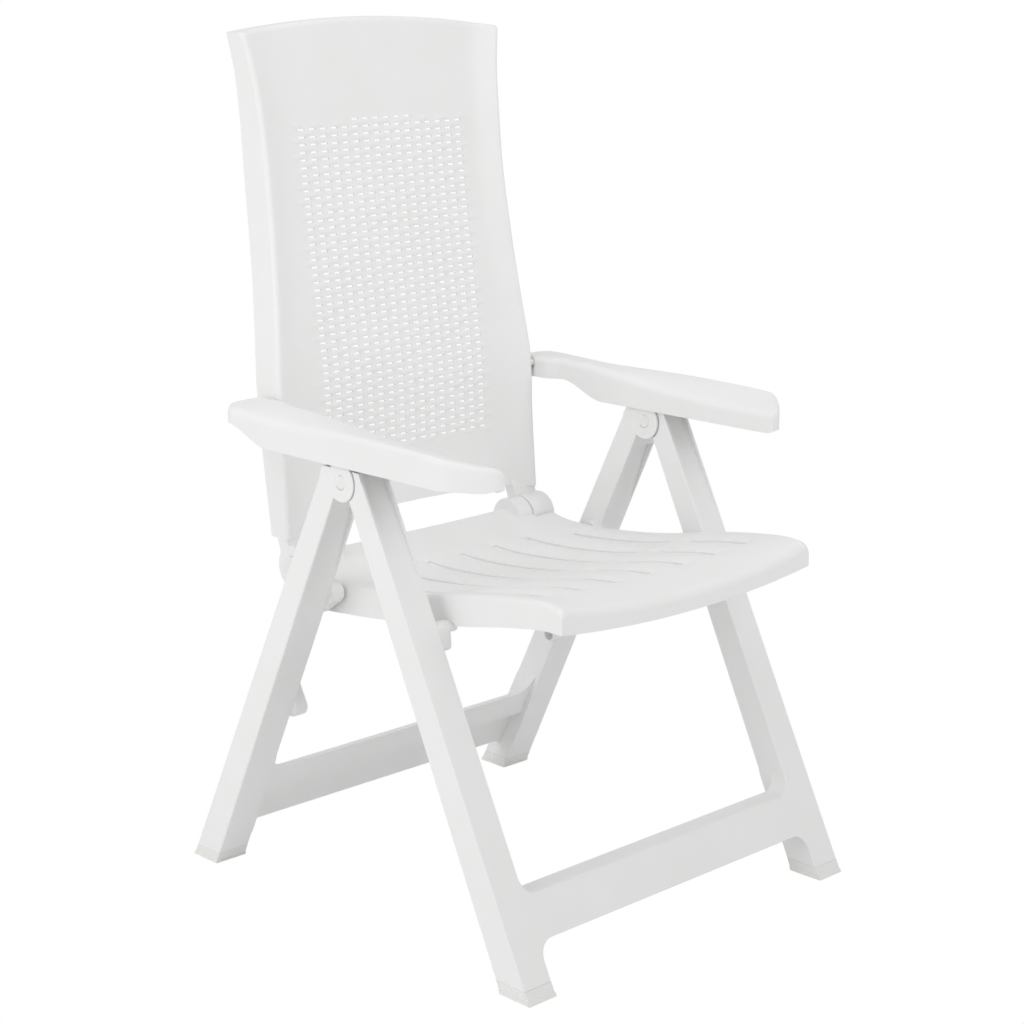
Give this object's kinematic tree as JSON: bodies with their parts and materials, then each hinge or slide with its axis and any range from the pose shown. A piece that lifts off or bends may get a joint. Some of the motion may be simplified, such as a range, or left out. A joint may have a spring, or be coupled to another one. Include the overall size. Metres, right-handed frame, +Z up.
{
  "type": "folding reclining garden armchair",
  "caption": "High-backed folding garden armchair in moulded plastic: slatted dished seat, woven-look back panel, notched armrests that set the recline, and A-frame legs that fold flat.",
  "frame": {"origin": "on the floor under the middle of the open chair", "axes": "+Z up, -Y the way the sitter faces, +X the sitter's left"},
  "size_m": [0.596, 0.6496, 1.106],
  "materials": {
    "white_resin": "moulded white polypropylene, fine satin grain",
    "white_pin": "moulded white polyamide pins and sleeves, smooth",
    "white_cap": "soft white foot caps, satin"
  },
  "bodies": {
    "front_frame": {"front_leg_frame": "white_resin", "foot_cap_front_left": "white_cap", "foot_cap_front_right": "white_cap", "leg_pivot_pin_left": "white_pin", "leg_pivot_pin_right": "white_pin", "catch_pin_left": "white_pin", "catch_pin_right": "white_pin"},
    "rear_frame": {"rear_leg_frame": "white_resin", "foot_cap_rear_left": "white_cap", "foot_cap_rear_right": "white_cap", "seat_pivot_pin_left": "white_pin", "seat_pivot_pin_right": "white_pin"},
    "seat_body": {"seat": "white_resin"},
    "back_hinge": {"back_hinge_pin_left": "white_pin", "back_hinge_pin_right": "white_pin"},
    "back_body": {"backrest": "white_resin"},
    "arm_pin_left": {"armrest_pin_left": "white_pin"},
    "arm_pin_right": {"armrest_pin_right": "white_pin"},
    "arm_bush_left": {"armrest_bush_left": "white_pin"},
    "arm_bush_right": {"armrest_bush_right": "white_pin"},
    "arm_left": {"armrest_left": "white_resin"},
    "arm_right": {"armrest_right": "white_resin"}
  },
  "joints": [
    {"name": "fold", "type": "hinge", "parent": "front_frame", "child": "rear_frame", "pos_m": [0, 0, 0.57], "axis": [-1, 0, 0], "range_deg": [0, 50]},
    {"name": "seat_fold", "type": "hinge", "parent": "rear_frame", "child": "seat_body", "pos_m": [0, 0.0855, 0.404], "axis": [-1, 0, 0], "range_deg": [0, 55.5]},
    {"name": "back_fold", "type": "hinge", "parent": "seat_body", "child": "back_hinge", "pos_m": [0, 0.18, 0.417], "axis": [1, 0, 0], "range_deg": [0, 81]},
    {"name": "recline", "type": "hinge", "parent": "back_hinge", "child": "back_body", "pos_m": [0, 0.18, 0.417], "axis": [-1, 0, 0], "range_deg": [0, 30]},
    {"name": "arm_recline_left", "type": "hinge", "parent": "back_body", "child": "arm_pin_left", "pos_m": [0.2395, 0.2035, 0.627], "axis": [1, 0, 0], "range_deg": [0, 23]},
    {"name": "arm_recline_right", "type": "hinge", "parent": "back_body", "child": "arm_pin_right", "pos_m": [-0.2395, 0.2035, 0.627], "axis": [1, 0, 0], "range_deg": [0, 23]},
    {"name": "arm_fold_left", "type": "hinge", "parent": "arm_pin_left", "child": "arm_bush_left", "pos_m": [0.2395, 0.2035, 0.627], "axis": [-1, 0, 0], "range_deg": [0, 92]},
    {"name": "arm_fold_right", "type": "hinge", "parent": "arm_pin_right", "child": "arm_bush_right", "pos_m": [-0.2395, 0.2035, 0.627], "axis": [-1, 0, 0], "range_deg": [0, 92]},
    {"name": "arm_lift_left", "type": "hinge", "parent": "arm_bush_left", "child": "arm_left", "pos_m": [0.2395, 0.2035, 0.627], "axis": [-1, 0, 0], "range_deg": [0, 85]},
    {"name": "arm_lift_right", "type": "hinge", "parent": "arm_bush_right", "child": "arm_right", "pos_m": [-0.2395, 0.2035, 0.627], "axis": [-1, 0, 0], "range_deg": [0, 85]}
  ],
  "couplings": [
    {"joint": "seat_fold", "follows": "fold", "ratio": 1.108},
    {"joint": "back_fold", "follows": "fold", "ratio": 1.612},
    {"joint": "arm_fold_left", "follows": "fold", "ratio": 1.824},
    {"joint": "arm_fold_right", "follows": "fold", "ratio": 1.824},
    {"joint": "arm_recline_left", "follows": "recline", "ratio": 0.745},
    {"joint": "arm_recline_right", "follows": "recline", "ratio": 0.745}
  ]
}
